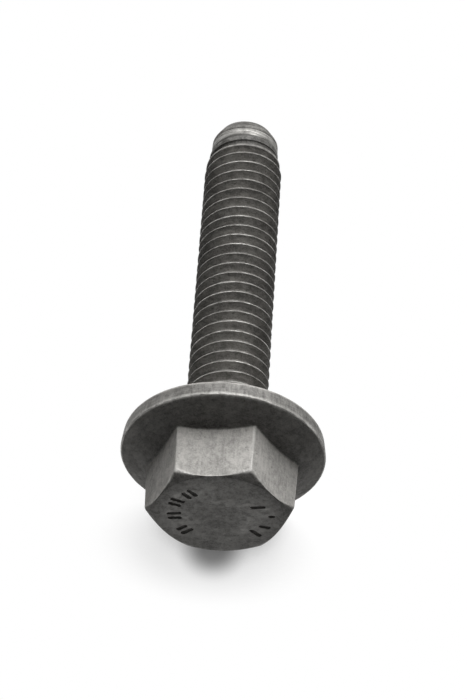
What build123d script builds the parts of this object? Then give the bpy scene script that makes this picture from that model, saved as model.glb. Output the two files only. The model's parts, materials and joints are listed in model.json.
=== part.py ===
"""Hexagon flange bolt, M8 x 40: head, flange, neck, shank and pilot, forged in one piece.

The bearing face under the flange lies in the XY plane, centred on the origin. The shank
points along +Z and the hexagon head hangs below, with two of its corners on the X axis.
"""

from build123d import *
import math
import os

# Threaded shank, in millimetres and degrees
thread_diameter = 8.0
length_under_head = 40.0

# Neck between the bearing face and the first thread
neck_diameter = 7.16
neck_length = 1.6
neck_cone_angle = 45.0
under_head_fillet = 0.6

# Plain pilot at the shank's end, and the slender cone of the first threads above it
pilot_diameter = 6.94
pilot_length = 2.5
first_thread_length = 2.6
end_face_diameter = 5.54
end_chamfer_length = 1.2

# Flange
flange_diameter = 19.8
bearing_diameter = 19.4
rim_height = 1.65
rim_chamfer = 0.12
flange_slope = 22.5

# Hexagon head: the width is at its foot, from which the forging's draft narrows it
across_flats = 12.7
hexagon_draft = 2.0
head_height = 8.4
hexagon_corner_radius = 0.25
head_chamfer_diameter = 12.2
head_chamfer_angle = 30.0

# Radii and stations of the turned outline
crest_radius = thread_diameter / 2
neck_radius = neck_diameter / 2
pilot_radius = pilot_diameter / 2
bearing_radius = bearing_diameter / 2
flange_radius = flange_diameter / 2
chamfer_radius = head_chamfer_diameter / 2
neck_cone_length = (crest_radius - neck_radius) / math.tan(math.radians(neck_cone_angle))
pilot_start = length_under_head - pilot_length
thread_end = pilot_start - first_thread_length
end_chamfer_start = length_under_head - end_chamfer_length
# The flange's cone is carried on inwards, under the hexagon, to half the hexagon's width
cone_inner_radius = across_flats / 4
cone_depth = rim_height + (flange_radius - cone_inner_radius) * math.tan(math.radians(flange_slope))
chamfer_rise = (flange_radius - chamfer_radius) * math.tan(math.radians(head_chamfer_angle))
# The hexagon's foot is where the middle of its faces meets the flange's cone
foot_height = rim_height + (flange_radius - across_flats / 2) * math.tan(math.radians(flange_slope))
draft_run = (head_height - foot_height) * math.tan(math.radians(hexagon_draft))
end_apothem = across_flats / 2 - draft_run


def corner(sketch, x, y):
    """Returns the vertex of a sketch that lies nearest to a point of its plane."""
    return sketch.vertices().sort_by_distance((x, y))[0]


with BuildPart() as hexagon_head:
    with BuildSketch(Plane.XY.offset(-head_height)) as hexagon:
        RegularPolygon(end_apothem, 6, major_radius=False)
        fillet(hexagon.vertices(), hexagon_corner_radius)
    extrude(amount=head_height - rim_height / 2, taper=-hexagon_draft)
    # A shallow cone takes the six corners off the end of the head
    with BuildSketch(Plane.XZ) as head_envelope:
        Polygon(
            (0, -head_height),
            (chamfer_radius, -head_height),
            (flange_radius, chamfer_rise - head_height),
            (flange_radius, 0),
            (0, 0),
            align=None,
        )
    revolve(axis=Axis.Z, mode=Mode.INTERSECT)

with BuildPart() as flange_bolt:
    # Flange, neck, shank and pilot in one turned outline
    with BuildSketch(Plane.XZ) as turned_section:
        Polygon(
            (0, -cone_depth),
            (cone_inner_radius, -cone_depth),
            (flange_radius, -rim_height),
            (bearing_radius, 0),
            (neck_radius, 0),
            (neck_radius, neck_length),
            (crest_radius, neck_length + neck_cone_length),
            (crest_radius, thread_end),
            (pilot_radius, pilot_start),
            (pilot_radius, end_chamfer_start),
            (end_face_diameter / 2, length_under_head),
            (0, length_under_head),
            align=None,
        )
        chamfer(corner(turned_section, flange_radius, -rim_height), rim_chamfer)
        chamfer(corner(turned_section, bearing_radius, 0), rim_chamfer)
        fillet(corner(turned_section, neck_radius, 0), under_head_fillet)
    revolve(axis=Axis.Z)
    add(hexagon_head.part)

flange_bolt.part.label = "flange_bolt"
os.makedirs("parts", exist_ok=True)
export_step(flange_bolt.part, "parts/flange_bolt.step")
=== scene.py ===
"""Looks of a hexagon flange bolt in dark phosphated steel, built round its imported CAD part.

The bolt is one closed mesh: a forged head with its conical flange, and a rolled shank whose helical
thread is made by a Geometry Nodes tree. It stands for the one CAD node and stays inside its box.
"""

import json  # noqa: E402
import logging  # noqa: E402
import math  # noqa: E402
from collections.abc import Callable  # noqa: E402
from dataclasses import dataclass, field  # noqa: E402
from enum import Enum  # noqa: E402

import bmesh  # noqa: E402
import bpy  # noqa: E402
import numpy as np  # noqa: E402
from mathutils import Matrix, Vector  # noqa: E402
from mathutils.geometry import delaunay_2d_cdt  # noqa: E402

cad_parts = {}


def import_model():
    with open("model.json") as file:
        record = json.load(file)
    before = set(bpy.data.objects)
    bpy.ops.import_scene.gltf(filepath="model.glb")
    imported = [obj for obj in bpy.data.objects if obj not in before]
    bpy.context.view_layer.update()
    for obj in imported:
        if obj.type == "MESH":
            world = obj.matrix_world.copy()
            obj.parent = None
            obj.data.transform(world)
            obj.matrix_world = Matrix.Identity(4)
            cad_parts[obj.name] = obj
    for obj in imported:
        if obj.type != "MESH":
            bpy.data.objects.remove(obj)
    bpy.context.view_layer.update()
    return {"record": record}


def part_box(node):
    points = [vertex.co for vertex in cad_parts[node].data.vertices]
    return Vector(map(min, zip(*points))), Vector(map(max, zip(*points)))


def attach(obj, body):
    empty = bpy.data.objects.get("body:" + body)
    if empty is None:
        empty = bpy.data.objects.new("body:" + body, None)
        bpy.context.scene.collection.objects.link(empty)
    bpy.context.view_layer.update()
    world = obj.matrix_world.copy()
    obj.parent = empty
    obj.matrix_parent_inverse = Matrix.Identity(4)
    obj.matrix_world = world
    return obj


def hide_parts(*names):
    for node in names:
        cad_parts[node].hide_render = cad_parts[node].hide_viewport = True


log = logging.getLogger("flange_bolt")

MM = 1e-3
TURN = 2 * math.pi
NODE = "flange_bolt"
BODY = "root"
PIECE = "flange_bolt_dressed"
MERGE_DISTANCE = 0.7e-6

Colour = tuple[float, float, float]
Socket = bpy.types.NodeSocket


class Mask(Enum):
    """Named vertex attributes that the materials read, and the fields of a ring that hold them."""

    WORN_AND_HIGHLIGHT = "worn_and_highlight"
    BRIGHT = "bright"
    FACET = "facet"
    COAT_AND_SHADE = "coat_and_shade"


class Beam(Enum):
    """What a lamp of the studio is there for."""

    KEY = "key_light"
    SIDE = "side_light"
    FILL = "fill_light"


@dataclass(frozen=True)
class PhosphatedSteel:
    """Finish of the bolt: a dark matt conversion coat over steel, rubbed bright on what stands out.

    Args:
        coat_dark: Colour of the coat where its crystals are densest.
        coat_light: Colour of the coat where it is thin.
        pit: Colour in the coat's pits.
        coat_and_shade_dark: Darkest colour of the thick coat, and of the painted shade in creases, recesses
            and grooves.
        coat_and_shade_light: Lightest colour of that coat and painted shade.
        steel: Colour of bare steel where the coat is rubbed off, also used for the painted highlights.
        specular: Specular level of the coat.
        bump_strength: Strength of the coat's bump.
        bump_height: Height of the coat's bump, in metres.
    """

    coat_dark: Colour = (0.2, 0.194, 0.183)
    coat_light: Colour = (0.47, 0.456, 0.432)
    pit: Colour = (0.07, 0.067, 0.062)
    coat_and_shade_dark: Colour = (0.017, 0.0158, 0.014)
    coat_and_shade_light: Colour = (0.175, 0.169, 0.158)
    steel: Colour = (0.5, 0.493, 0.47)
    specular: float = 0.22
    bump_strength: float = 0.6
    bump_height: float = 0.1 * MM


@dataclass(frozen=True)
class PaleFloor:
    """Finish of a floor: plain white but for a soft shade near the bolt, partly ambient occlusion and partly
    a painted shadow spot. Lengths are in metres.

    Args:
        colour: Diffuse colour near the bolt.
        glow: Share of plain white that it gives near the bolt.
        shaded_glow: The same share in its darkest corner.
        reach: Distance within which the bolt darkens the glow.
        spot: Radius of the darkest part of a shadow spot painted round the floor's origin, which is put where
            the bolt comes nearest to the floor.
        contact: Radius where that spot ends.
        spot_glow: Share of the glow in the darkest part of that painted shadow.
        near: Radius inside which the floor takes the bolt's shadow.
        far: Radius from which it is plain white.
        squash: How much sooner it turns white along the bolt than across it.
        shift: Shift of that fading along the bolt, after the squash.
    """

    colour: Colour = (0.3, 0.3, 0.3)
    glow: float = 0.76
    shaded_glow: float = 0.3
    reach: float = 0.009
    spot: float = 0.0008
    contact: float = 0.0039
    spot_glow: float = 0.28
    near: float = 0.0072
    far: float = 0.0148
    squash: float = 1.0
    shift: float = 0.0


@dataclass(frozen=True)
class Columns:
    """Azimuths of the mesh's columns, closer together near the hexagon's corners.

    Args:
        per_side: Columns in each sixth of a turn.
        crowding: From 0, even, to nearly 1, crowded at the corners.
    """

    per_side: int = 32
    crowding: float = 0.85

    @property
    def count(self) -> int:
        """Columns in a whole turn."""
        return 6 * self.per_side

    @property
    def ones(self) -> np.ndarray:
        """A row of ones, with a value for each column."""
        return np.ones(self.count)

    def azimuths(self) -> np.ndarray:
        """Returns the azimuth of each column, in radians, from 0 and below a whole turn."""
        place = np.arange(self.count) / self.per_side
        return (place - self.crowding * np.sin(TURN * place) / TURN) * np.pi / 3

    def off_corner(self) -> np.ndarray:
        """Returns each column's angle from the nearest corner of the hexagon, in radians."""
        return (self.azimuths() + np.pi / 6) % (np.pi / 3) - np.pi / 6


@dataclass(frozen=True)
class ThreadForm:
    """Form of the rolled thread, in metres.

    Args:
        pitch: Rise of one turn.
        depth: Height from the root to the crest.
        crest_flat: Width of the crest.
        half_angle: Slope of a flank from the plane across the shank, in radians.
        phase: Height of a crest at azimuth 0.
    """

    pitch: float = 1.25 * MM
    depth: float = 0.767 * MM
    crest_flat: float = 0.1 * MM
    half_angle: float = math.radians(30.0)
    phase: float = 0.3234 * MM

    def stations(self) -> list[tuple[float, float, int]]:
        """Works out the rows of one turn.

        The rows run from the middle of a crest to the middle of the next one. Side is +1 on the
        flank above a crest, -1 on the flank below the next, and 0 in the middle of crest and root.

        Returns:
            (share of the depth, share of the pitch, side) of each row.
        """
        half_crest = self.crest_flat / 2 / self.pitch
        run = self.depth * math.tan(self.half_angle) / self.pitch
        upper = [
            (1.0, 0.75 * half_crest, 1),
            (0.955, half_crest + 0.045 * run, 1),
            (0.86, half_crest + 0.14 * run, 1),
            (0.14, half_crest + 0.86 * run, 1),
            (0.03, half_crest + run, 1),
        ]
        lower = [(share, 1.0 - place, -1) for share, place, _ in reversed(upper)]
        return [(1.0, 0.0, 0), *upper, (0.0, 0.5, 0), *lower]


@dataclass(frozen=True)
class ThreadWear:
    """Knocks, wear, coat and painted shade of the rolled thread.

    Args:
        dent_depth: Depth of the deepest knock on a crest, in metres.
        dent_seed: Seed of the knocks.
        dent_scale: Scale of the knocks, against the crest's radius.
        dent_detail: Octaves of the knocks.
        dent_range: Where in their noise a knock begins and where it is deepest.
        crest_share: Share of the depth above which a crest is rubbed.
        rub: How far a full crest is rubbed off.
        crest_coat: Density of the coat on the crests.
        root_coat: Density of the coat in the grooves.
        runout_shade: Painted shade where the thread runs out; above 1 it is darker than the thick coat, as in
            a shaded groove.
        end_share: Share of the run-out where that shade is full.
        end_fade: Height over which it fades on the pilot, in metres.
        pilot_shine: How bright the pilot is.
        shine_fade: Height over which it turns bright, in metres.
    """

    dent_depth: float = 0.06 * MM
    dent_seed: float = 3.0
    dent_scale: float = 4.2
    dent_detail: float = 3.0
    dent_range: tuple[float, float] = (0.56, 0.74)
    crest_share: float = 0.93
    rub: float = 0.75
    crest_coat: float = 0.45
    root_coat: float = 0.22
    runout_shade: float = 1.8
    end_share: float = 0.8
    end_fade: float = 0.15 * MM
    pilot_shine: float = 0.82
    shine_fade: float = 0.12 * MM


@dataclass(frozen=True)
class ShankStations:
    """Radii and heights of the shank, in metres, above the bearing face.

    Args:
        crest_radius: Radius over the thread's crests.
        pilot_radius: Radius of the plain pilot.
        neck_radius: Radius of the plain neck under the flange.
        neck_end: Height where the neck ends and the crests begin to rise.
        crest_start: Height where the crests are full.
        floor_start: Height where the groove has its full depth.
        thread_end: Height where the crests begin to fall towards the pilot.
        pilot_start: Height where the pilot begins.
        chamfer_start: Height where the end chamfer begins.
        tip: Height of the end face.
        end_radius: Radius of the end face.
        lower_lap: How far below the neck's end the threaded surface meets the head's mesh.
        upper_lap: How far above the pilot's start it meets the tip's mesh.
    """

    crest_radius: float
    pilot_radius: float
    neck_radius: float = 3.58 * MM
    neck_end: float = 1.6 * MM
    crest_start: float = 2.02 * MM
    floor_start: float = 2.9 * MM
    thread_end: float = 34.9 * MM
    pilot_start: float = 37.5 * MM
    chamfer_start: float = 38.8 * MM
    tip: float = 40.0 * MM
    end_radius: float = 2.77 * MM
    lower_lap: float = 0.35 * MM
    upper_lap: float = 0.45 * MM

    @property
    def lower_seam(self) -> float:
        """Height of the ring where the threaded surface meets the head's mesh."""
        return self.neck_end - self.lower_lap

    @property
    def upper_seam(self) -> float:
        """Height of the ring where the threaded surface meets the tip's mesh."""
        return self.pilot_start + self.upper_lap


class NodeTree:
    """A node tree with short calls for the nodes that it is made of."""

    def __init__(self, tree: bpy.types.NodeTree) -> None:
        """Args:
        tree: The tree to add nodes to.
        """
        self.tree = tree

    def node(self, kind: str, **settings: object) -> bpy.types.Node:
        """Adds a node.

        Args:
            kind: The node's type name.
            settings: Properties to set on it.

        Returns:
            The new node.
        """
        made = self.tree.nodes.new(kind)
        for name, value in settings.items():
            setattr(made, name, value)
        return made

    def feed(self, socket: Socket, value: object) -> None:
        """Links a socket into another, or sets its value.

        Args:
            socket: The input socket.
            value: An output socket or a plain value, or None to leave the input as it is.
        """
        if isinstance(value, bpy.types.NodeSocket):
            self.tree.links.new(value, socket)
        elif value is not None:
            socket.default_value = value

    def math(self, operation: str, a: object, b: object = None, c: object = None,
             clamp: bool = False) -> Socket:
        """Adds a Math node.

        Args:
            operation: The Math node's operation.
            a: First operand.
            b: Second operand.
            c: Third operand.
            clamp: Whether the result is held between 0 and 1.

        Returns:
            The node's output.
        """
        made = self.node("ShaderNodeMath", operation=operation, use_clamp=clamp)
        for socket, value in zip(made.inputs, (a, b, c)):
            self.feed(socket, value)
        return made.outputs[0]

    def plus(self, a: object, b: object) -> Socket:
        """Returns a + b."""
        return self.math("ADD", a, b)

    def minus(self, a: object, b: object) -> Socket:
        """Returns a - b."""
        return self.math("SUBTRACT", a, b)

    def times(self, a: object, b: object) -> Socket:
        """Returns a * b."""
        return self.math("MULTIPLY", a, b)

    def over(self, a: object, b: object) -> Socket:
        """Returns a / b."""
        return self.math("DIVIDE", a, b)

    def times_plus(self, a: object, b: object, c: object, clamp: bool = False) -> Socket:
        """Returns a * b + c, held between 0 and 1 if clamp is set."""
        return self.math("MULTIPLY_ADD", a, b, c, clamp)

    def blend(self, share: object, a: object, b: object) -> Socket:
        """Returns a at share 0 and b at share 1."""
        return self.times_plus(self.minus(b, a), share, a)

    def ramp(self, value: object, low: object, high: object, start: object = 0.0, end: object = 1.0,
             smooth: bool = False) -> Socket:
        """Maps a value from one range to another, held at both ends.

        Args:
            value: The value to map.
            low: Where the range begins.
            high: Where it ends.
            start: Result at low.
            end: Result at high.
            smooth: Whether the way between is smooth rather than straight.

        Returns:
            The mapped value.
        """
        made = self.node("ShaderNodeMapRange", clamp=True)
        made.interpolation_type = "SMOOTHSTEP" if smooth else "LINEAR"
        names = ("Value", "From Min", "From Max", "To Min", "To Max")
        for name, given in zip(names, (value, low, high, start, end)):
            self.feed(made.inputs[name], given)
        return made.outputs["Result"]

    def mix(self, share: object, a: object, b: object) -> Socket:
        """Mixes two colours.

        Args:
            share: Share of b.
            a: First colour.
            b: Second colour.

        Returns:
            The mixed colour.
        """
        made = self.node("ShaderNodeMix", data_type="RGBA")
        self.feed(made.inputs[0], share)
        for socket, value in ((made.inputs[6], a), (made.inputs[7], b)):
            self.feed(socket, (*value, 1.0) if isinstance(value, tuple) else value)
        return made.outputs[2]

    def noise(self, place: Socket, scale: float, detail: float = 2.0, roughness: float = 0.55,
              seed: object = None) -> Socket:
        """Adds a Noise Texture.

        Args:
            place: Coordinates.
            scale: Its scale, in features for each unit of them.
            detail: Octaves.
            roughness: Weight of the finer octaves.
            seed: Place along a fourth coordinate, or None for a texture with three.

        Returns:
            The texture's factor.
        """
        made = self.node("ShaderNodeTexNoise", noise_dimensions="3D" if seed is None else "4D")
        names = ("Vector", "Scale", "Detail", "Roughness")
        for name, value in zip(names, (place, scale, detail, roughness)):
            self.feed(made.inputs[name], value)
        if seed is not None:
            self.feed(made.inputs["W"], seed)
        return made.outputs[0]

    def vector(self, x: object, y: object, z: object) -> Socket:
        """Makes a vector of three values.

        Args:
            x: First component.
            y: Second component.
            z: Third component.

        Returns:
            The vector.
        """
        made = self.node("ShaderNodeCombineXYZ")
        for socket, value in zip(made.inputs, (x, y, z)):
            self.feed(socket, value)
        return made.outputs[0]

    def mapped(self, vector: Socket, scale: tuple, shift: tuple = (0.0, 0.0, 0.0)) -> Socket:
        """Scales a vector and then shifts it along each axis.

        Args:
            vector: The vector.
            scale: Scale along each axis.
            shift: Shift along each axis.

        Returns:
            The mapped vector.
        """
        made = self.node("ShaderNodeMapping")
        for name, value in (("Vector", vector), ("Scale", scale), ("Location", shift)):
            self.feed(made.inputs[name], value)
        return made.outputs[0]

    def length(self, vector: Socket) -> Socket:
        """Measures a vector.

        Args:
            vector: The vector.

        Returns:
            Its length.
        """
        made = self.node("ShaderNodeVectorMath", operation="LENGTH")
        self.feed(made.inputs[0], vector)
        return made.outputs["Value"]


@dataclass(frozen=True)
class ThreadedShank:
    """The rolled thread between neck and pilot, as a Geometry Nodes tree on a grid of rows and columns.

    Args:
        form: The thread's form.
        stations: Radii and heights of the shank.
        columns: Azimuths of the columns.
        wear: Knocks, wear and dirt.
        groove_lead: How much sooner the grooves reach the pilot's radius than the crests do.
    """

    form: ThreadForm
    stations: ShankStations
    columns: Columns
    wear: ThreadWear = ThreadWear()
    groove_lead: float = 1.6

    @property
    def rows_per_turn(self) -> int:
        """Rows of the grid in one turn of the thread."""
        return len(self.form.stations())

    @property
    def turns(self) -> int:
        """Turns of the grid, with one to spare below and above."""
        return math.ceil((self.stations.upper_seam - self.form.phase) / self.form.pitch) + 2

    def inputs(self) -> dict[str, float]:
        """Lists the tree's named inputs.

        Returns:
            The value of each input by its name.
        """
        s, f = self.stations, self.form
        return {
            "Pitch": f.pitch,
            "Phase": f.phase,
            "Flank slope": math.tan(f.half_angle),
            "Crest radius": s.crest_radius,
            "Root radius": s.crest_radius - f.depth,
            "Neck radius": s.neck_radius,
            "Pilot radius": s.pilot_radius,
            "Neck end": s.neck_end,
            "Crest start": s.crest_start,
            "Floor start": s.floor_start,
            "Thread end": s.thread_end,
            "Pilot start": s.pilot_start,
            "Lower seam": s.lower_seam,
            "Upper seam": s.upper_seam,
            "Dent depth": self.wear.dent_depth,
            "Dent seed": self.wear.dent_seed,
        }

    def tree(self, material: bpy.types.Material) -> bpy.types.NodeTree:
        """Builds the tree.

        Args:
            material: Material of the shank.

        Returns:
            The Geometry Nodes tree.
        """
        group = bpy.data.node_groups.new("rolled_thread", "GeometryNodeTree")
        group.interface.new_socket(name="Geometry", in_out="OUTPUT", socket_type="NodeSocketGeometry")
        for name in self.inputs():
            group.interface.new_socket(name=name, in_out="INPUT", socket_type="NodeSocketFloat")
        t = NodeTree(group)
        given = t.node("NodeGroupInput").outputs
        grid, azimuth, turn, station = self._grid(t)
        cosine, sine = t.math("COSINE", azimuth), t.math("SINE", azimuth)
        share, shift, side = (self._by_station(t, station, k) for k in range(3))
        lift = t.plus(t.minus(turn, 1.0), t.over(azimuth, TURN))
        nominal = t.times_plus(t.plus(lift, shift), given["Pitch"], given["Phase"])
        fall = t.ramp(nominal, given["Thread end"], given["Pilot start"])
        rise = t.ramp(nominal, given["Neck end"], given["Crest start"])

        swell = t.ramp(nominal, given["Floor start"], given["Neck end"], smooth=True)
        outer = t.blend(rise, given["Neck radius"], given["Crest radius"])
        outer = t.blend(fall, outer, given["Pilot radius"])
        inner = t.blend(swell, given["Root radius"], given["Neck radius"])
        early = t.math("MULTIPLY", fall, self.groove_lead, clamp=True)
        inner = t.blend(early, inner, given["Pilot radius"])
        radius = t.blend(share, inner, outer)
        full = t.blend(share, given["Root radius"], given["Crest radius"])
        slide = t.times(t.times(t.minus(full, radius), given["Flank slope"]), side)
        height = t.math("MAXIMUM", t.plus(nominal, slide), given["Lower seam"])
        height = t.math("MINIMUM", height, given["Upper seam"])

        around = t.vector(cosine, sine, t.over(nominal, given["Crest radius"]))
        dents = t.noise(around, self.wear.dent_scale, self.wear.dent_detail, 0.5, given["Dent seed"])
        knock = t.ramp(dents, *self.wear.dent_range, 0.0, given["Dent depth"])
        # The run-outs at both ends stay whole, because their rows lie close enough to merge
        whole = t.times(t.ramp(rise, 0.3, 0.9), t.ramp(fall, 0.5, 0.1))
        radius = t.minus(radius, t.times(t.times(knock, whole), t.ramp(share, 0.5, 1.0)))

        shape = grid
        for mask, value in self._masks(t, given["Pilot start"], share, rise, fall, height).items():
            kept = t.node("GeometryNodeStoreNamedAttribute", data_type="FLOAT", domain="POINT")
            kept.inputs["Name"].default_value = mask.value
            t.feed(kept.inputs["Geometry"], shape)
            t.feed(kept.inputs["Value"], value)
            shape = kept.outputs["Geometry"]
        moved = t.node("GeometryNodeSetPosition")
        t.feed(moved.inputs["Position"], t.vector(t.times(radius, cosine), t.times(radius, sine), height))
        joined = t.node("GeometryNodeMergeByDistance")
        joined.inputs["Distance"].default_value = MERGE_DISTANCE
        dressed = t.node("GeometryNodeSetMaterial")
        dressed.inputs["Material"].default_value = material
        for step in (moved, joined, t.node("GeometryNodeRealizeInstances"), dressed):
            t.feed(step.inputs["Geometry"], shape)
            shape = step.outputs["Geometry"]
        t.feed(t.node("NodeGroupOutput").inputs["Geometry"], shape)
        return group

    def _grid(self, t: NodeTree) -> tuple[Socket, Socket, Socket, Socket]:
        """Adds the flat grid, with a column of rows for each azimuth.

        Args:
            t: The tree.

        Returns:
            The grid, and for each of its points the azimuth, the number of its turn and the number
            of its row in that turn.
        """
        rows = self.turns * self.rows_per_turn + 1
        grid = t.node("GeometryNodeMeshGrid")
        grid.inputs["Vertices X"].default_value = self.columns.count + 1
        grid.inputs["Vertices Y"].default_value = rows
        index = t.node("GeometryNodeInputIndex").outputs[0]
        column, row = self._divide(t, index, rows)
        turn, station = self._divide(t, row, self.rows_per_turn)
        place = t.over(column, float(self.columns.per_side))
        crowd = t.times(t.math("SINE", t.times(place, TURN)), -self.columns.crowding / TURN)
        azimuth = t.times(t.plus(place, crowd), math.pi / 3)
        return grid.outputs["Mesh"], azimuth, turn, station

    @staticmethod
    def _divide(t: NodeTree, number: Socket, by: int) -> tuple[Socket, Socket]:
        """Returns the whole quotient and the remainder of a whole number, worked out in the tree."""
        quotient = t.math("FLOOR", t.over(t.plus(number, 0.5), float(by)))
        return quotient, t.minus(number, t.times(quotient, float(by)))

    def _by_station(self, t: NodeTree, station: Socket, column: int) -> Socket:
        """Reads one column of the station table for each row.

        Args:
            t: The tree.
            station: Number of the row within its turn.
            column: Column of the table.

        Returns:
            The column's value.
        """
        switch = t.node("GeometryNodeIndexSwitch", data_type="FLOAT")
        values = [float(entry[column]) for entry in self.form.stations()]
        while len(switch.index_switch_items) < len(values):
            switch.index_switch_items.new()
        t.feed(switch.inputs[0], station)
        for socket, value in zip(switch.inputs[1:], values):
            socket.default_value = value
        return switch.outputs[0]

    def _masks(self, t: NodeTree, pilot: Socket, share: Socket, rise: Socket, fall: Socket,
               height: Socket) -> dict[Mask, Socket]:
        """Works out the masks that the thread's material reads.

        Args:
            t: The tree.
            pilot: Height where the pilot begins.
            share: Share of the thread's depth.
            rise: How far the crests have risen from the neck.
            fall: How far they have fallen towards the pilot.
            height: Height above the bearing face.

        Returns:
            The value of each mask.
        """
        w = self.wear
        # The crests are rubbed bare, which is partly real wear and partly a painted highlight that makes the
        # bright crest lines.
        crest = t.ramp(share, w.crest_share, 1.0)
        worn_and_highlight = t.times(t.times(crest, rise), t.times_plus(fall, -w.rub, w.rub))
        # Painted shade where the thread runs out, darker than the thick coat, standing for the shade of a
        # groove there.
        runout_shade_mask = t.minus(t.ramp(fall, 0.0, w.end_share, 0.0, w.runout_shade),
                         t.ramp(height, pilot, t.plus(pilot, w.end_fade)))
        coat_and_shade = t.math("MAXIMUM", t.ramp(share, 1.0, 0.0, w.crest_coat, w.root_coat), runout_shade_mask)
        bright = t.ramp(height, pilot, t.plus(pilot, w.shine_fade), 0.0, w.pilot_shine, smooth=True)
        return {Mask.WORN_AND_HIGHLIGHT: worn_and_highlight, Mask.BRIGHT: bright, Mask.COAT_AND_SHADE: coat_and_shade}

    def mesh(self, material: bpy.types.Material) -> bpy.types.Mesh:
        """Evaluates the tree once.

        Args:
            material: Material of the shank.

        Returns:
            Its result as a plain mesh.
        """
        carrier = bpy.data.objects.new("thread_carrier", bpy.data.meshes.new("thread_carrier"))
        bpy.context.scene.collection.objects.link(carrier)
        modifier = carrier.modifiers.new("rolled_thread", "NODES")
        modifier.node_group = self.tree(material)
        for item in modifier.node_group.interface.items_tree:
            if item.in_out == "INPUT" and item.name in self.inputs():
                modifier[item.identifier] = self.inputs()[item.name]
        graph = bpy.context.evaluated_depsgraph_get()
        result = bpy.data.meshes.new_from_object(carrier.evaluated_get(graph))
        carrier.modifiers.remove(modifier)
        bpy.data.objects.remove(carrier)
        return result


@dataclass
class Ring:
    """One closed row of a turned or forged surface.

    Args:
        radius: Radius at each column, in metres.
        height: Height at each column, in metres.
        worn_and_highlight: How far the coat is rubbed off; the same attribute carries painted highlights
            round the pressed bars and on the crests.
        bright: How far it is bare, burnished steel.
        facet: How far it belongs to a face of the hexagon.
        coat_and_shade: How far the coat is thick and dark, or painted dark as shade in a crease, recess or
            groove.
    """

    radius: np.ndarray
    height: np.ndarray
    worn_and_highlight: np.ndarray | float = 0.0
    bright: np.ndarray | float = 0.0
    facet: np.ndarray | float = 0.0
    coat_and_shade: np.ndarray | float = 0.0


def arc(centre: tuple, radius: object, start: float, end: float, steps: int) -> list[tuple]:
    """Points of an arc in the half plane of radius and height.

    Args:
        centre: Centre (radius, height), numbers or one value for each column.
        radius: The arc's radius.
        start: First angle from the outward direction, in degrees.
        end: Last angle.
        steps: Number of steps.

    Returns:
        The points, first and last included.
    """
    angles = np.radians(np.linspace(start, end, steps + 1))
    return [(centre[0] + radius * math.cos(a), centre[1] + radius * math.sin(a)) for a in angles]


def ripple(azimuth: np.ndarray, height: float, seed: int) -> np.ndarray:
    """Makes a smooth, closed, uneven wave round the axis.

    Args:
        azimuth: Azimuths in radians.
        height: Rough height of the wave.
        seed: Seed of its phases.

    Returns:
        The wave at each azimuth.
    """
    random = np.random.default_rng(seed)
    waves = (3, 5, 8, 13, 19, 27)
    phases = random.uniform(0, TURN, len(waves))
    parts = enumerate(zip(waves, phases))
    return height * sum(np.sin(n * azimuth + p) / (1 + k / 3) for k, (n, p) in parts)


@dataclass(frozen=True)
class Stroke:
    """One plain bar pressed into the end of the head, in millimetres and degrees.

    Args:
        azimuth: Azimuth of its middle.
        radius: Distance of its middle from the axis.
        length: Length over its round ends.
        turn: Angle between the bar and the radial direction.
        width: Width of the bar.
        unevenness: How far its outline wanders, as a share of its half width.
    """

    azimuth: float
    radius: float
    length: float
    turn: float = 0.0
    width: float = 0.5
    unevenness: float = 0.12

    def outline(self, offset: float) -> list[tuple[float, float]]:
        """Draws the bar's uneven outline.

        Args:
            offset: Distance by which the outline is grown, or shrunk if it is negative.

        Returns:
            The points round the bar, in order.
        """
        random = np.random.default_rng(round(self.azimuth) % 360)
        place, way = math.radians(self.azimuth), math.radians(self.azimuth + self.turn)
        middle = complex(self.radius * math.cos(place), self.radius * math.sin(place))
        along = complex(math.cos(way), math.sin(way))
        straight = (self.length - self.width) / 2

        def reach() -> float:
            """Returns the next uneven distance from the bar's middle line to its outline."""
            return (self.width / 2 + offset) * (1 + random.uniform(-self.unevenness, self.unevenness))

        points = []
        for sign in (1, -1):
            for step in range(7):
                turn, out = math.radians(-90 + 30 * step), reach()
                local = complex(straight + out * math.cos(turn), out * math.sin(turn))
                points.append(middle + along * local * sign)
            for part in (0.33, 0.0, -0.33):
                points.append(middle + along * complex(straight * part, reach()) * sign)
        return [(point.real, point.imag) for point in points]

    def holds(self, x: float, y: float) -> bool:
        """Tells whether a point lies inside the bar's outline.

        Args:
            x: Place along X.
            y: Place along Y.

        Returns:
            True if it does.
        """
        points = self.outline(0.0)
        inside = False
        for (ax, ay), (bx, by) in zip(points, points[1:] + points[:1]):
            if (ay > y) != (by > y) and x < (bx - ax) * (y - ay) / (by - ay) + ax:
                inside = not inside
        return inside


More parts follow.
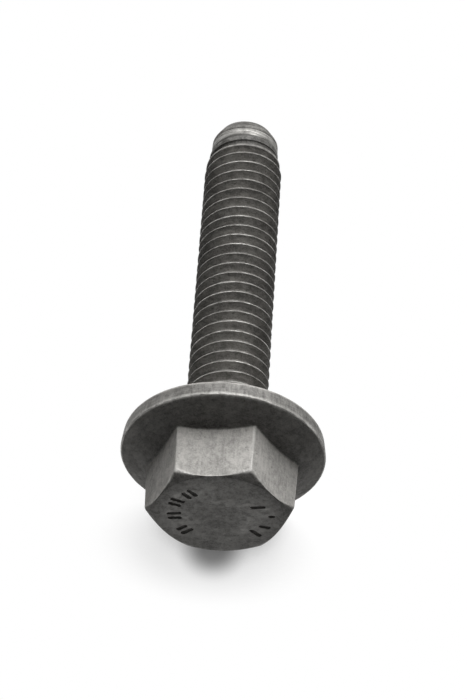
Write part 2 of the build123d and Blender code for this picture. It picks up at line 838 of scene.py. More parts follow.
@dataclass(frozen=True)
class StruckFace:
    """Flat end face of the head, with plain bars pressed into it where a bolt carries its marks.

    Args:
        border: Radius of the face's outer ring, in metres.
        depth: Depth of the bars, in metres.
        rims: Growth in millimetres and wear of the two outlines round each bar, outer one first; that wear is
            a painted highlight on the bars' lips.
        floors: Growth in millimetres and share of the depth of the outlines down each bar.
        strokes: The bars.
    """

    border: float = 5.7 * MM
    depth: float = 0.2 * MM
    rims: tuple[tuple[float, float], ...] = ((0.05, 0.25), (0.0, 0.6))
    floors: tuple[tuple[float, float], ...] = ((-0.03, 0.45), (-0.08, 1.0))
    strokes: tuple[Stroke, ...] = (
        Stroke(58, 4.1, 1.45, -4.5), Stroke(48, 4.1, 1.3, 5.5),
        Stroke(32, 4.35, 1.5, -5), Stroke(22.5, 4.35, 1.35, 4.5),
        Stroke(3, 4.25, 1.45, -6), Stroke(-7, 4.25, 1.4, 4),
        Stroke(-30, 4.3, 1.3, -5), Stroke(-40, 4.3, 1.5, 5),
        Stroke(164, 3.96, 1.5, 12), Stroke(185, 5.0, 0.7),
        Stroke(207, 4.7, 1.2, -8), Stroke(224, 4.5, 1.5, 6),
    )

    def fill(self, shape: bmesh.types.BMesh, edge: list[bmesh.types.BMVert], height: float) -> None:
        """Fills a ring of the mesh with the struck face.

        Args:
            shape: The mesh.
            edge: The ring's vertices, in order.
            height: Height of the face.
        """
        coat_and_shade = shape.verts.layers.float[Mask.COAT_AND_SHADE.value]
        worn_and_highlight = shape.verts.layers.float[Mask.WORN_AND_HIGHLIGHT.value]
        flat = [Vector((v.co.x / MM, v.co.y / MM)) for v in edge]
        known = list(edge)
        bounds = self._loop(0, len(edge))
        loops: list[list[bmesh.types.BMVert]] = []
        for stroke in self.strokes:
            for offset, wear in self.rims:
                points = stroke.outline(offset)
                bounds += self._loop(len(flat), len(points))
                flat += [Vector(point) for point in points]
                loop = [shape.verts.new((x * MM, y * MM, height)) for x, y in points]
                # Painted highlight: the outlines round each bar are lightened as rubbed steel, standing for
                # light caught by the bars' lips.
                for vertex in loop:
                    vertex[worn_and_highlight], vertex[coat_and_shade] = wear, 0.3
                known += loop
            loops.append(loop)
        spots, _, faces, origins, _, _ = delaunay_2d_cdt(flat, bounds, [], 0, 1e-5, True)
        verts = [known[origin[0]] if origin else shape.verts.new((spot.x * MM, spot.y * MM, height))
                 for spot, origin in zip(spots, origins)]
        for face in faces:
            x, y = (sum(spots[i][axis] for i in face) / len(face) for axis in (0, 1))
            if not any(stroke.holds(x, y) for stroke in self.strokes):
                shape.faces.new([verts[i] for i in face])
        for stroke, loop in zip(self.strokes, loops):
            # Painted shade: the walls and floor of each pressed bar are darkened fully, as shade in the
            # recess.
            for offset, share in self.floors:
                z = height + self.depth * share
                lower = [shape.verts.new((x * MM, y * MM, z)) for x, y in stroke.outline(offset)]
                for (k, n), vertex in zip(self._loop(0, len(lower)), lower):
                    vertex[coat_and_shade] = 1.0
                    shape.faces.new((loop[k], loop[n], lower[n], lower[k]))
                loop = lower
            middle = shape.verts.new(sum((v.co for v in loop), Vector()) / len(loop))
            middle[coat_and_shade] = 1.0
            for k, n in self._loop(0, len(loop)):
                shape.faces.new((middle, loop[k], loop[n]))

    @staticmethod
    def _loop(first: int, count: int) -> list[tuple[int, int]]:
        """Returns the pairs of neighbours round a closed loop of points, numbered from the first."""
        return [(first + k, first + (k + 1) % count) for k in range(count)]


@dataclass(frozen=True)
class ForgedHead:
    """Hexagon head and conical flange, down to the neck. Lengths are in metres and angles in degrees.

    Args:
        low: Lowest corner of the CAD node's box.
        high: Highest corner.
        columns: Azimuths of the columns.
        shank: Radii and heights of the shank.
        face: The struck end face.
        across_flats: Width of the hexagon at its foot on the flange.
        draft: Slope of the hexagon's faces, by which it narrows towards its end.
        corner_radius: Radius of the hexagon's corners.
        corner_wear: How far those corners are rubbed bright.
        corner_reach: Angle from a corner within which they are, in radians.
        chamfer_radius: Radius where the end chamfer begins.
        chamfer_angle: Slope of the end chamfer.
        edge_reach: Largest distance over which the edge of the chamfer is rounded.
        edge_share: Largest share of the chamfer that the rounding takes.
        edge_wear: Wear of the rows over that edge.
        rim_height: Height of the flange's rim.
        rim_round: Radius of the rim's edges.
        rim_ripple: Unevenness of the rim's edge.
        rim_wear: Wear of the rows over that edge.
        bearing_radius: Radius of the bearing face.
        flange_slope: Slope of the flange's cone.
        foot_round: Radius of the blend between hexagon and flange.
        neck_fillet: Radius of the fillet under the head.
    """

    low: Vector
    high: Vector
    columns: Columns
    shank: ShankStations
    face: StruckFace = StruckFace()
    across_flats: float = 12.7 * MM
    draft: float = 2.0
    corner_radius: float = 0.25 * MM
    corner_wear: float = 0.4
    corner_reach: float = 0.03
    chamfer_radius: float = 6.1 * MM
    chamfer_angle: float = 30.0
    edge_reach: float = 0.36 * MM
    edge_share: float = 0.36
    edge_wear: tuple[float, ...] = (0.15, 0.5, 0.95, 0.95, 0.5)
    rim_height: float = 1.65 * MM
    rim_round: float = 0.16 * MM
    rim_ripple: float = 0.022 * MM
    rim_wear: tuple[float, ...] = (0.3, 0.9, 1.0, 1.0, 0.8, 0.3)
    bearing_radius: float = 9.68 * MM
    flange_slope: float = 22.5
    foot_round: float = 0.2 * MM
    neck_fillet: float = 0.6 * MM

    @property
    def rim(self) -> float:
        """Largest radius of the flange that stays inside the CAD node's box."""
        return min(self.high.x, self.high.y)

    @property
    def corner(self) -> np.ndarray:
        """How near each column is to a corner of the hexagon, from 0 to 1 on it."""
        return np.clip(1 - np.abs(self.columns.off_corner()) / self.corner_reach, 0, 1)

    def hexagon(self, height: np.ndarray) -> np.ndarray:
        """Works out the hexagon's section, with its corners rounded.

        Args:
            height: Height at each column.

        Returns:
            Its radius at each column.
        """
        foot = self._cone(self.across_flats / 2)
        apothem = self.across_flats / 2 + (height - foot) * math.tan(math.radians(self.draft))
        off = self.columns.off_corner()
        flat = apothem / np.cos(np.pi / 6 - np.abs(off))
        centre = (apothem - self.corner_radius) / math.cos(math.pi / 6)
        inside = self.corner_radius**2 - (centre * np.sin(off)) ** 2
        rounded = centre * np.cos(off) + np.sqrt(np.maximum(inside, 0))
        edge = math.pi / 6 - np.arctan(centre * 0.5 / apothem)
        return np.where(np.abs(off) < edge, rounded, flat)

    def _cone(self, radius: np.ndarray | float) -> np.ndarray | float:
        """Returns the height of the flange's cone at a radius."""
        return -self.rim_height - (self.rim - radius) * math.tan(math.radians(self.flange_slope))

    def _meeting(self, height_at: Callable[[np.ndarray], np.ndarray]) -> tuple[np.ndarray, np.ndarray]:
        """Finds where the hexagon's side meets a turned surface.

        Args:
            height_at: Height of the turned surface at a radius.

        Returns:
            (radius, height) at each column.
        """
        height = np.full(self.columns.count, self.low.z / 2)
        for _ in range(6):
            height = height_at(self.hexagon(height))
        return self.hexagon(height), height

    def rings(self) -> list[Ring]:
        """Makes the head's rows.

        Returns:
            The rows, from the border of the struck end face to the neck.
        """
        rows = self._end_edge()
        rows += self._sides(rows[-1].height)
        inner, outer = rows[-1].radius, (self.rim - self.rim_round * 1.2) * self.columns.ones
        # Painted shade: the cone is darkest next to the hexagon's foot, where the hexagon shades it, and
        # lighter towards the rim.
        for share in (0.2, 0.4, 0.6, 0.8, 0.93, 1.0):
            r = inner + (outer - inner) * share
            rows.append(Ring(r, self._cone(r), coat_and_shade=0.9 - 0.7 * share))
        return rows + self._rim() + self._underside()

    def _end_edge(self) -> list[Ring]:
        """Makes the rows over the end chamfer and its edge.

        Returns:
            The rows, down to the hexagon's plain sides.
        """
        one, end, corner = self.columns.ones, self.low.z, self.corner
        bevel = math.tan(math.radians(self.chamfer_angle))
        rows = [
            Ring(self.face.border * one, end * one, coat_and_shade=0.3),
            Ring((self.chamfer_radius - 0.03 * MM) * one, end * one, coat_and_shade=0.35),
            Ring((self.chamfer_radius + 0.03 * MM) * one, (end + 0.01 * MM) * one, coat_and_shade=0.6),
        ]
        edge, top = self._meeting(lambda r: end + (r - self.chamfer_radius) * bevel)
        back = np.minimum(self.edge_reach, (edge - self.chamfer_radius) * self.edge_share)
        drift = self.hexagon(top + back) - edge
        for step, wear in enumerate(self.edge_wear):
            t = step / (len(self.edge_wear) - 1)
            fall, climb = back * (1 - t) ** 2, back * t**2
            rows.append(Ring(
                edge - fall * math.cos(math.atan(bevel)) + drift * t**2,
                top - fall * 0.5 + climb,
                worn_and_highlight=wear * (0.75 + 0.25 * corner),
                facet=t,
                coat_and_shade=0.6 * (1 - t),
            ))
        start = top + back + 0.1 * MM
        return rows + [Ring(self.hexagon(start), start, worn_and_highlight=self.corner_wear * corner, facet=1.0)]

    def _sides(self, start: np.ndarray) -> list[Ring]:
        """Makes the rows down the hexagon's sides and round its foot on the flange.

        Args:
            start: Height where the plain sides begin, at each column.

        Returns:
            The rows, from the plain sides to the flange.
        """
        side, slope = math.radians(90 - self.draft), math.radians(self.flange_slope)
        _, foot = self._meeting(self._cone)
        stop = foot - self.foot_round * math.tan((side - slope) / 2) * math.sin(side)
        rows = []
        for share in (0.15, 0.35, 0.55, 0.75, 0.9, 1.0):
            height = start + (stop - start) * share
            rows.append(Ring(self.hexagon(height), height, worn_and_highlight=self.corner_wear * self.corner, facet=1.0))
        out = self.hexagon(stop) + self.foot_round * math.sin(side)
        up = stop - self.foot_round * math.cos(side)
        # Painted shade in the crease between hexagon and flange, darkest on the flange side.
        for a in np.linspace(side, slope, 6)[1:]:
            r, z = out - self.foot_round * math.sin(a), up + self.foot_round * math.cos(a)
            share = float((a - slope) / (side - slope))
            rows.append(Ring(r, z, facet=share, coat_and_shade=1.0 - share))
        return rows

    def _rim(self) -> list[Ring]:
        """Makes the rows of the flange's rim, with its uneven, rubbed edge.

        Returns:
            The rows, from the cone to the bearing face.
        """
        one, rim, height, edge = self.columns.ones, self.rim, self.rim_height, self.rim_round
        lean = math.atan((rim - self.bearing_radius) / height)
        azimuth = self.columns.azimuths()
        rows = []
        centre, start = (rim - edge, -height + edge * 0.9), self.flange_slope - 90
        points = arc(centre, edge, start, 0, len(self.rim_wear) - 1)
        for step, ((r, z), wear) in enumerate(zip(points, self.rim_wear)):
            uneven = ripple(azimuth, self.rim_ripple * (1 - abs(step - 2) / 4), seed=5)
            r, z = r * one - np.abs(uneven), z * one + uneven
            rows.append(Ring(r, z, worn_and_highlight=wear, bright=0.75, facet=0.5, coat_and_shade=0.5))
        for z in (0.4, 0.75, 1.05, 1.3):
            r = rim - (z - 0.16) * MM * math.tan(lean)
            rows.append(Ring(r * one, (-height + z * MM) * one, worn_and_highlight=0.1, bright=0.3, facet=0.6, coat_and_shade=0.92))
        low = (self.bearing_radius - edge + 0.03 * MM, -edge)
        return rows + [Ring(r * one, z * one, worn_and_highlight=0.3) for r, z in arc(low, edge, 5, 90, 4)]

    def _underside(self) -> list[Ring]:
        """Makes the rows under the head.

        Returns:
            The rows over the bearing face, the fillet and the neck.
        """
        one, neck = self.columns.ones, self.shank.neck_radius
        rows = [Ring(r * MM * one, 0 * one, worn_and_highlight=0.2) for r in (9.2, 8.4, 7.4, 6.4, 5.4, 4.7)]
        centre = (neck + self.neck_fillet, self.neck_fillet)
        rows += [Ring(r * one, z * one) for r, z in arc(centre, self.neck_fillet, 270, 180, 6)]
        return rows + [Ring(neck * one, z * one) for z in (0.95 * MM, self.shank.lower_seam)]


@dataclass(frozen=True)
class Tip:
    """Pilot and chamfered end of the shank.

    Args:
        columns: Azimuths of the columns.
        shank: Radii and heights of the shank.
        unevenness: Rough height of the wave on its rows, in metres.
        plain_rows: How many rows at its end have no wave.
    """

    columns: Columns
    shank: ShankStations
    unevenness: float = 0.012 * MM
    plain_rows: int = 6

    def profile(self) -> list[tuple[float, float, float, float]]:
        """Lays out the tip's rows.

        Returns:
            (radius, height, bright, coat_and_shade) of each row, from the pilot's seam to the end face.
        """
        s = self.shank
        pilot, edge, start = s.pilot_radius, s.end_radius, s.chamfer_start
        chamfer = [(pilot + (edge - pilot) * share, start + (s.tip - start) * share, 0.0, 1.0)
                   for share in (0.35, 0.6, 0.8, 0.94)]
        return [
            (pilot, s.upper_seam, 0.72, 0.8),
            (pilot, start - 0.55 * MM, 0.45, 0.8),
            (pilot - 0.01 * MM, start - 0.45 * MM, 0.6, 0.3),
            # Painted shade: the small dip before the chamfer and the chamfer's start are darkened past the
            # thick coat.
            (pilot - 0.05 * MM, start - 0.38 * MM, 0.0, 1.9),
            (pilot - 0.012 * MM, start - 0.3 * MM, 0.1, 0.8),
            (pilot - 0.01 * MM, start - 0.1 * MM, 0.1, 0.8),
            (pilot - 0.035 * MM, start + 0.04 * MM, 0.15, 0.7),
            (pilot - 0.12 * MM, start + 0.2 * MM, 0.0, 1.25),
            *chamfer,
            (edge - 0.005 * MM, s.tip - 0.03 * MM, 0.2, 0.4),
            (edge - 0.07 * MM, s.tip, 0.1, 0.5),
            (2.2 * MM, s.tip, 0.0, 0.6),
            (1.5 * MM, s.tip, 0.0, 0.6),
            (0.8 * MM, s.tip, 0.0, 0.6),
        ]

    def rings(self) -> list[Ring]:
        """Makes the tip's rows.

        Returns:
            The rows, from the pilot's seam to next to the middle of the end face.
        """
        one, azimuth, profile = self.columns.ones, self.columns.azimuths(), self.profile()
        rows = []
        for k, (r, z, bright, coat_and_shade) in enumerate(profile):
            waved = 1 < k < len(profile) - self.plain_rows
            uneven = ripple(azimuth, self.unevenness, seed=k) if waved else 0 * one
            rows.append(Ring(r * one - np.abs(uneven) * 0.5, z * one + uneven, bright=bright, coat_and_shade=coat_and_shade))
        return rows


@dataclass(frozen=True)
class FlangeBolt:
    """The whole bolt: head, threaded shank and tip joined into one closed mesh.

    Args:
        head: The forged head.
        thread: The threaded shank.
        tip: The shank's end.
        columns: Azimuths of the columns, which all three share.
    """

    head: ForgedHead
    thread: ThreadedShank
    tip: Tip
    columns: Columns

    def build(self, material: bpy.types.Material) -> bpy.types.Object:
        """Builds the bolt.

        Args:
            material: Its material.

        Returns:
            The finished object, riding on nothing yet.
        """
        mesh = self.thread.mesh(material)
        log.info("rolled thread: %d faces", len(mesh.polygons))
        shape = bmesh.new()
        shape.from_mesh(mesh)
        for mask in Mask:
            if mask.value not in shape.verts.layers.float:
                shape.verts.layers.float.new(mask.value)
        border, _ = self._sweep(shape, self.head.rings())
        log.info("forged head added")
        self.head.face.fill(shape, border, self.head.low.z)
        log.info("end face with %d plain strokes added", len(self.head.face.strokes))
        _, end = self._sweep(shape, self.tip.rings())
        middle = shape.verts.new((0, 0, self.tip.shank.tip))
        for j, vertex in enumerate(end):
            shape.faces.new((middle, vertex, end[(j + 1) % len(end)]))
        log.info("tip added")
        open_edges = self._close(shape)
        bmesh.ops.recalc_face_normals(shape, faces=shape.faces)
        for face in shape.faces:
            face.smooth, face.material_index = True, 0
        shape.to_mesh(mesh)
        shape.free()
        mesh.materials.clear()
        mesh.materials.append(material)
        mesh.name = PIECE
        log.info("bolt: %d faces, %d open edges", len(mesh.polygons), open_edges)
        bolt = bpy.data.objects.new(PIECE, mesh)
        bpy.context.scene.collection.objects.link(bolt)
        return bolt

    @staticmethod
    def _close(shape: bmesh.types.BMesh) -> int:
        """Joins the surfaces along their seams and collapses the slivers that are left.

        Such a sliver lies where a crest runs out and two flanks meet in one short edge.

        Args:
            shape: The mesh.

        Returns:
            The number of edges that still don't join exactly two faces.
        """
        bmesh.ops.remove_doubles(shape, verts=shape.verts, dist=MERGE_DISTANCE)
        bmesh.ops.dissolve_degenerate(shape, edges=shape.edges, dist=MERGE_DISTANCE / 2)
        for _ in range(8):
            torn = [edge for edge in shape.edges if not edge.is_manifold]
            if not torn:
                break
            bmesh.ops.collapse(shape, edges=[min(torn, key=bmesh.types.BMEdge.calc_length)])
        return sum(not edge.is_manifold for edge in shape.edges)

    def _sweep(self, shape: bmesh.types.BMesh, rings: list[Ring]) -> tuple[list, list]:
        """Adds the faces between rings.

        Args:
            shape: The mesh to add to.
            rings: The rows.

        Returns:
            The vertices of the first ring and of the last.
        """
        azimuth = self.columns.azimuths()
        layers = {mask: shape.verts.layers.float[mask.value] for mask in Mask}
        count = len(azimuth)
        table: list[list[bmesh.types.BMVert]] = []
        for ring in rings:
            values = {mask: np.broadcast_to(getattr(ring, mask.value), count) for mask in Mask}
            line = []
            for j, (a, r, z) in enumerate(zip(azimuth, ring.radius, ring.height)):
                vertex = shape.verts.new((r * math.cos(a), r * math.sin(a), z))
                for mask, layer in layers.items():
                    vertex[layer] = float(values[mask][j])
                line.append(vertex)
            table.append(line)
        for a, b in zip(table, table[1:]):
            for j in range(count):
                k = (j + 1) % count
                shape.faces.new((a[j], a[k], b[k], b[j]))
        return table[0], table[-1]


class Materials:
    """Procedural materials and the node group that gives the coat its grain."""

    def __init__(self) -> None:
        """Builds the group."""
        self.grain = self._grain()

    @staticmethod
    def _grain() -> bpy.types.NodeTree:
        """Builds the group that gives the coat its grain.

        Returns:
            The group, with mottling, pits, streaks and height as its outputs.
        """
        group = bpy.data.node_groups.new("coat_grain", "ShaderNodeTree")
        group.interface.new_socket(name="Vector", in_out="INPUT", socket_type="NodeSocketVector")
        for name in ("Mottle", "Pits", "Streaks", "Turned", "Height"):
            group.interface.new_socket(name=name, in_out="OUTPUT", socket_type="NodeSocketFloat")
        t = NodeTree(group)
        place = t.node("NodeGroupInput").outputs[0]
        out = t.node("NodeGroupOutput").inputs
        broad = t.noise(place, 420.0)
        middle = t.noise(place, 1900.0, 3.0, 0.65)
        fine = t.noise(place, 6500.0)
        mottle = t.plus(t.plus(t.times(broad, 0.3), t.times(middle, 0.4)), t.times(fine, 0.3))
        t.feed(out["Mottle"], t.ramp(mottle, 0.42, 0.6))
        cells = t.node("ShaderNodeTexVoronoi")
        t.feed(cells.inputs["Vector"], place)
        cells.inputs["Scale"].default_value = 2600.0
        dot = t.ramp(cells.outputs["Distance"], 0.1, 0.34, 1.0, 0.0)
        pits = t.times(dot, t.ramp(t.noise(place, 1300.0), 0.54, 0.66))
        t.feed(out["Pits"], pits)
        streaks = t.noise(t.mapped(place, (1.0, 1.0, 0.16)), 4200.0)
        t.feed(out["Streaks"], t.ramp(streaks, 0.35, 0.65))
        turned = t.noise(t.mapped(place, (0.12, 0.12, 1.0)), 5200.0, 3.0, 0.65)
        t.feed(out["Turned"], t.ramp(turned, 0.38, 0.62))
        height = t.plus(t.times(middle, 0.5), t.times(fine, 0.25))
        t.feed(out["Height"], t.minus(height, t.times(pits, 0.35)))
        return group

    def bolt(self, finish: PhosphatedSteel) -> bpy.types.Material:
        """Builds the bolt's material.

        Args:
            finish: The finish.

        Returns:
            The material.
        """
        material = bpy.data.materials.new("phosphated_steel")
        material.use_nodes = True
        t = NodeTree(material.node_tree)
        shader = material.node_tree.nodes["Principled BSDF"].inputs
        coords = t.node("ShaderNodeTexCoord").outputs["Object"]
        grain = t.node("ShaderNodeGroup", node_tree=self.grain)
        t.feed(grain.inputs[0], coords)
        worn_and_highlight, bright, facet, coat_and_shade = (
            t.node("ShaderNodeAttribute", attribute_name=mask.value).outputs["Fac"]
            for mask in (Mask.WORN_AND_HIGHLIGHT, Mask.BRIGHT, Mask.FACET, Mask.COAT_AND_SHADE)
        )
        mottle, streaks, turned = (grain.outputs[name] for name in ("Mottle", "Streaks", "Turned"))
        lines = t.times_plus(t.minus(streaks, turned), facet, turned)

        # Painted light: the facet mask lightens the coat on the hexagon's faces, as if lit more than the
        # flange, and by half on the rim.
        tone = t.times_plus(lines, 0.3, t.times_plus(facet, 0.28, -0.04))
        tone = t.times_plus(mottle, 0.7, tone, clamp=True)
        coat = t.mix(tone, finish.coat_dark, finish.coat_light)
        coat = t.mix(t.times(grain.outputs["Pits"], 0.6), coat, finish.pit)
        shade = t.times_plus(lines, 0.45, t.times(mottle, 0.55))
        # The thick coat and the painted shade darken the coat; above 1 the painted shade darkens it further,
        # as in a shaded groove.
        coat = t.mix(coat_and_shade, coat, t.mix(shade, finish.coat_and_shade_dark, finish.coat_and_shade_light))
        coat = t.mix(t.ramp(coat_and_shade, 1.0, 2.0, 0.0, 0.7), coat, finish.coat_and_shade_dark)

        # Patches of wear; on the crests their variation also paints the crest highlight lines brighter or
        # dimmer.
        patch = t.ramp(t.noise(coords, 1700.0, 4.0, 0.7), 0.4, 0.58, 0.1, 1.0)
        patch = t.times(patch, t.ramp(t.noise(coords, 300.0), 0.4, 0.6, 0.3, 1.4))
        polish = t.times(bright, t.times_plus(lines, 0.6, 0.1))
        bare = t.math("MAXIMUM", t.times(worn_and_highlight, patch), polish, clamp=True)
        rough = t.times_plus(bright, -0.12, t.ramp(mottle, 0.0, 1.0, 0.68, 0.56))
        speckle = t.noise(coords, 2600.0, 3.0, 0.65)
        bump = t.node("ShaderNodeBump")
        bump.inputs["Strength"].default_value = finish.bump_strength
        bump.inputs["Distance"].default_value = finish.bump_height
        t.feed(bump.inputs["Height"], t.times_plus(worn_and_highlight, speckle, grain.outputs["Height"]))
        t.feed(shader["Base Color"], t.mix(bare, coat, finish.steel))
        t.feed(shader["Metallic"], t.times_plus(bright, 0.35, t.times(bare, 0.3)))
        t.feed(shader["Roughness"], t.times_plus(bare, -0.16, rough))
        t.feed(shader["Normal"], bump.outputs["Normal"])
        shader["Specular IOR Level"].default_value = finish.specular
        return material

    @staticmethod
    def floor(finish: PaleFloor) -> bpy.types.Material:
        """Builds the material of a floor that is only seen from above.

        Args:
            finish: The finish.

        Returns:
            The material.
        """
        material = bpy.data.materials.new("pale_floor")
        material.use_nodes = True
        material.node_tree.nodes.clear()
        t = NodeTree(material.node_tree)
        place = t.node("ShaderNodeTexCoord").outputs["Object"]
        oval = t.mapped(place, (1.0, finish.squash, 1.0), (0.0, finish.shift, 0.0))
        away = t.ramp(t.length(oval), finish.near, finish.far, smooth=True)
        diffuse = t.node("ShaderNodeBsdfDiffuse")
        diffuse.inputs["Color"].default_value = (*finish.colour, 1.0)
        white = t.node("ShaderNodeEmission")
        white.inputs["Strength"].default_value = 1.0
        shade = t.node("ShaderNodeAmbientOcclusion", samples=32)
        shade.inputs["Distance"].default_value = finish.reach
        open_sky = t.ramp(shade.outputs["AO"], 0.4, 0.62, finish.shaded_glow, finish.glow)
        # Painted shadow: a dark spot round the floor's origin, set by place alone, dims the glow.
        spot = t.ramp(t.length(place), finish.spot, finish.contact, finish.spot_glow, 1.0, smooth=True)
        glow = t.node("ShaderNodeEmission")
        t.feed(glow.inputs["Strength"], t.times(open_sky, spot))
        near = t.node("ShaderNodeAddShader")
        plain = t.node("ShaderNodeMixShader")
        one_sided = t.node("ShaderNodeMixShader")
        below = t.node("ShaderNodeNewGeometry").outputs["Backfacing"]
        clear = t.node("ShaderNodeBsdfTransparent").outputs[0]
        out = t.node("ShaderNodeOutputMaterial")
        for made, sources in (
            (near, (diffuse.outputs[0], glow.outputs[0])),
            (plain, (away, near.outputs[0], white.outputs[0])),
            (one_sided, (below, plain.outputs[0], clear)),
            (out, (one_sided.outputs[0],)),
        ):
            for socket, source in zip(made.inputs, sources):
                t.feed(socket, source)
        return material


def direction(azimuth: float, elevation: float) -> Vector:
    """Returns the unit vector at an azimuth from +X towards +Y and an elevation, both in degrees."""
    a, e = math.radians(azimuth), math.radians(elevation)
    return Vector((math.cos(a) * math.cos(e), math.sin(a) * math.cos(e), math.sin(e)))


@dataclass(frozen=True)
class Lamp:
    """One soft square lamp that looks at the bolt.

    Args:
        beam: What it is for.
        azimuth: Azimuth from the bolt, in degrees.
        elevation: Elevation from the bolt, in degrees.
        size: Its width in metres.
        power: Its power in watts.
        distance: Its distance in metres.
    """

    beam: Beam
    azimuth: float
    elevation: float
    size: float
    power: float
    distance: float = 0.5


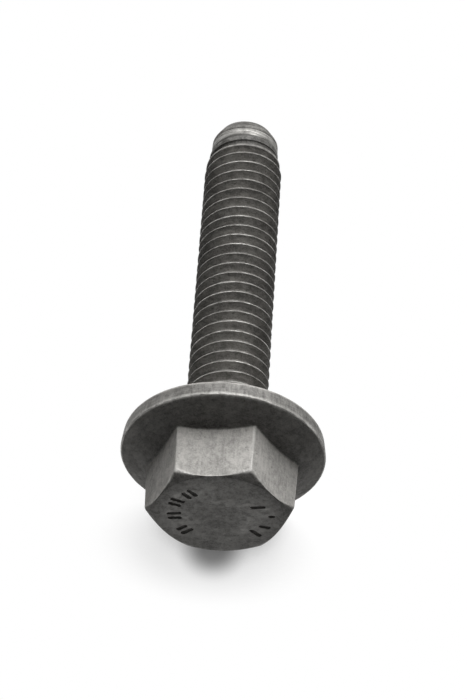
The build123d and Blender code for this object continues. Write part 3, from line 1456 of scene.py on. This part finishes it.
@dataclass(frozen=True)
class Studio:
    """Camera, floor, lamps and world round the bolt. Angles are in degrees.

    Args:
        low: Lowest corner of the bolt's box.
        high: Highest corner.
        camera_azimuth: Azimuth of the camera from the bolt, from +X.
        camera_elevation: Elevation of the camera.
        camera_roll: Roll of the camera.
        camera_distance: Distance to the point that it looks at, in metres.
        aim: That point.
        lens: Focal length in millimetres.
        sensor: Width of the camera's sensor in millimetres.
        floor_azimuth: Azimuth of the side of the bolt that is turned away from the lying floor.
        rim_touch: Height where the flange's rim touches that floor, in metres.
        spot_down: How far the centre of the floor's painted shadow spot lies from there towards the head, in
            metres.
        spot_aside: How far it lies to the side, in metres.
        floor_half: Half the width of each floor, in metres.
        ambient: Brightness of the world, for all but what is seen straight or in a reflection.
        lights: The lamps.
    """

    low: Vector
    high: Vector
    camera_azimuth: float = 97.421
    camera_elevation: float = -38.249
    camera_roll: float = 4.062
    camera_distance: float = 0.24788
    aim: Vector = field(default_factory=lambda: Vector((-0.287, -0.037, 11.43)) * MM)
    lens: float = 128.52
    sensor: float = 36.0
    floor_azimuth: float = 96.95
    rim_touch: float = -0.8 * MM
    spot_down: float = 4.6 * MM
    spot_aside: float = 0.45 * MM
    floor_half: float = 0.6
    ambient: float = 0.03
    lights: tuple[Lamp, ...] = (
        Lamp(Beam.KEY, 108, 34, 0.46, 4.4),
        Lamp(Beam.SIDE, 60, 25, 0.3, 0.12),
        Lamp(Beam.FILL, 277, -40, 0.4, 0.42),
    )

    def camera(self) -> None:
        """Adds the camera and sets it as the scene's."""
        data = bpy.data.cameras.new("camera")
        data.lens, data.sensor_width = self.lens, self.sensor
        data.clip_start, data.clip_end = 0.01, 10.0
        data.dof.use_dof = False
        camera = bpy.data.objects.new("camera", data)
        bpy.context.scene.collection.objects.link(camera)
        back = direction(self.camera_azimuth, self.camera_elevation)
        right = Vector((0, 0, 1)).cross(back).normalized()
        up = back.cross(right)
        turn = math.radians(self.camera_roll)
        right, up = right * math.cos(turn) + up * math.sin(turn), up * math.cos(turn) - right * math.sin(turn)
        place = Matrix((right, up, back)).transposed().to_4x4()
        place.translation = self.aim + back * self.camera_distance
        camera.matrix_world = place
        bpy.context.scene.camera = camera

    def floors(self, lying: bpy.types.Material, level: bpy.types.Material, shank: ShankStations) -> None:
        """Adds the floor that the bolt lies on, as the camera sees it, and the ground under its head.

        Args:
            lying: Material of the floor that runs along the bolt.
            level: Material of the ground.
            shank: Radii and heights of the shank, whose last crest touches the floor.
        """
        outward = -direction(self.floor_azimuth, 0.0)
        lower = outward * self.high.x + Vector((0, 0, self.rim_touch))
        upper = outward * shank.crest_radius + Vector((0, 0, shank.thread_end))
        along = (upper - lower).normalized()
        normal = -(outward - along * outward.dot(along)).normalized()
        # The lying floor's origin, and so the centre of its painted shadow spot, goes here.
        spot = lower - along * self.spot_down - along.cross(normal) * self.spot_aside
        self._plane("lying_floor", lying, spot, normal)
        self._plane("ground", level, Vector((0, 0, self.low.z - 0.01 * MM)), Vector((0, 0, 1)))

    def _plane(self, name: str, material: bpy.types.Material, centre: Vector, normal: Vector) -> None:
        """Adds a square of floor.

        Args:
            name: Its name.
            material: Its material.
            centre: Its middle.
            normal: The way it faces.
        """
        half = self.floor_half
        corners = [(-half, -half, 0), (half, -half, 0), (half, half, 0), (-half, half, 0)]
        mesh = bpy.data.meshes.new(name)
        mesh.from_pydata(corners, [], [(0, 1, 2, 3)])
        mesh.materials.append(material)
        plane = bpy.data.objects.new(name, mesh)
        bpy.context.scene.collection.objects.link(plane)
        plane.matrix_world = self._facing(centre, normal)
        for ray in ("diffuse", "glossy", "transmission", "shadow"):
            setattr(plane, f"visible_{ray}", False)

    @staticmethod
    def _facing(place: Vector, normal: Vector) -> Matrix:
        """Returns the matrix that puts an object at a place with its Z axis along a direction."""
        return Matrix.Translation(place) @ normal.to_track_quat("Z", "Y").to_matrix().to_4x4()

    def lamps(self) -> None:
        """Adds the lamps."""
        middle = (self.low + self.high) / 2
        for light in self.lights:
            data = bpy.data.lights.new(light.beam.value, "AREA")
            data.shape, data.size, data.energy = "SQUARE", light.size, light.power
            lamp = bpy.data.objects.new(light.beam.value, data)
            bpy.context.scene.collection.objects.link(lamp)
            toward = direction(light.azimuth, light.elevation)
            lamp.matrix_world = self._facing(middle + toward * light.distance, toward)

    def world(self) -> None:
        """Makes the world white for camera, glossy and transmission rays and dim for the rest."""
        world = bpy.data.worlds.new("studio")
        world.use_nodes = True
        bpy.context.scene.world = world
        t = NodeTree(world.node_tree)
        back = world.node_tree.nodes["Background"].inputs
        rays = t.node("ShaderNodeLightPath").outputs
        mirrored = t.math("MAXIMUM", rays["Is Glossy Ray"], rays["Is Transmission Ray"])
        seen = t.math("MAXIMUM", rays["Is Camera Ray"], mirrored)
        back["Color"].default_value = (1, 1, 1, 1)
        t.feed(back["Strength"], t.ramp(seen, 0.0, 1.0, self.ambient, 1.0))


def main() -> None:
    """Builds the scene in order and logs each piece."""
    logging.basicConfig(level=logging.INFO, format="%(name)s: %(message)s")
    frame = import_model()
    low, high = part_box(NODE)
    mounts = {m["name"]: m for m in frame["record"]["mounts"]}
    shank = ShankStations(
        crest_radius=mounts["thread"]["dims"]["r_mm"] * MM,
        pilot_radius=mounts["pilot"]["dims"]["r_mm"] * MM,
        tip=high.z,
    )
    columns = Columns()
    materials = Materials()
    bolt = FlangeBolt(
        head=ForgedHead(low=low, high=high, columns=columns, shank=shank),
        thread=ThreadedShank(ThreadForm(), shank, columns),
        tip=Tip(columns, shank),
        columns=columns,
    ).build(materials.bolt(PhosphatedSteel()))
    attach(bolt, BODY)
    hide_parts(NODE)
    log.info("bolt rides on %s", BODY)

    studio = Studio(low=low, high=high)
    lying = materials.floor(PaleFloor(squash=1.6, shift=-4.5 * MM))
    studio.floors(lying, materials.floor(PaleFloor(far=0.0135)), shank)
    studio.lamps()
    studio.world()
    studio.camera()
    log.info("studio built")

    bpy.context.scene.view_settings.view_transform = "Standard"


if __name__ == "__main__":
    main()
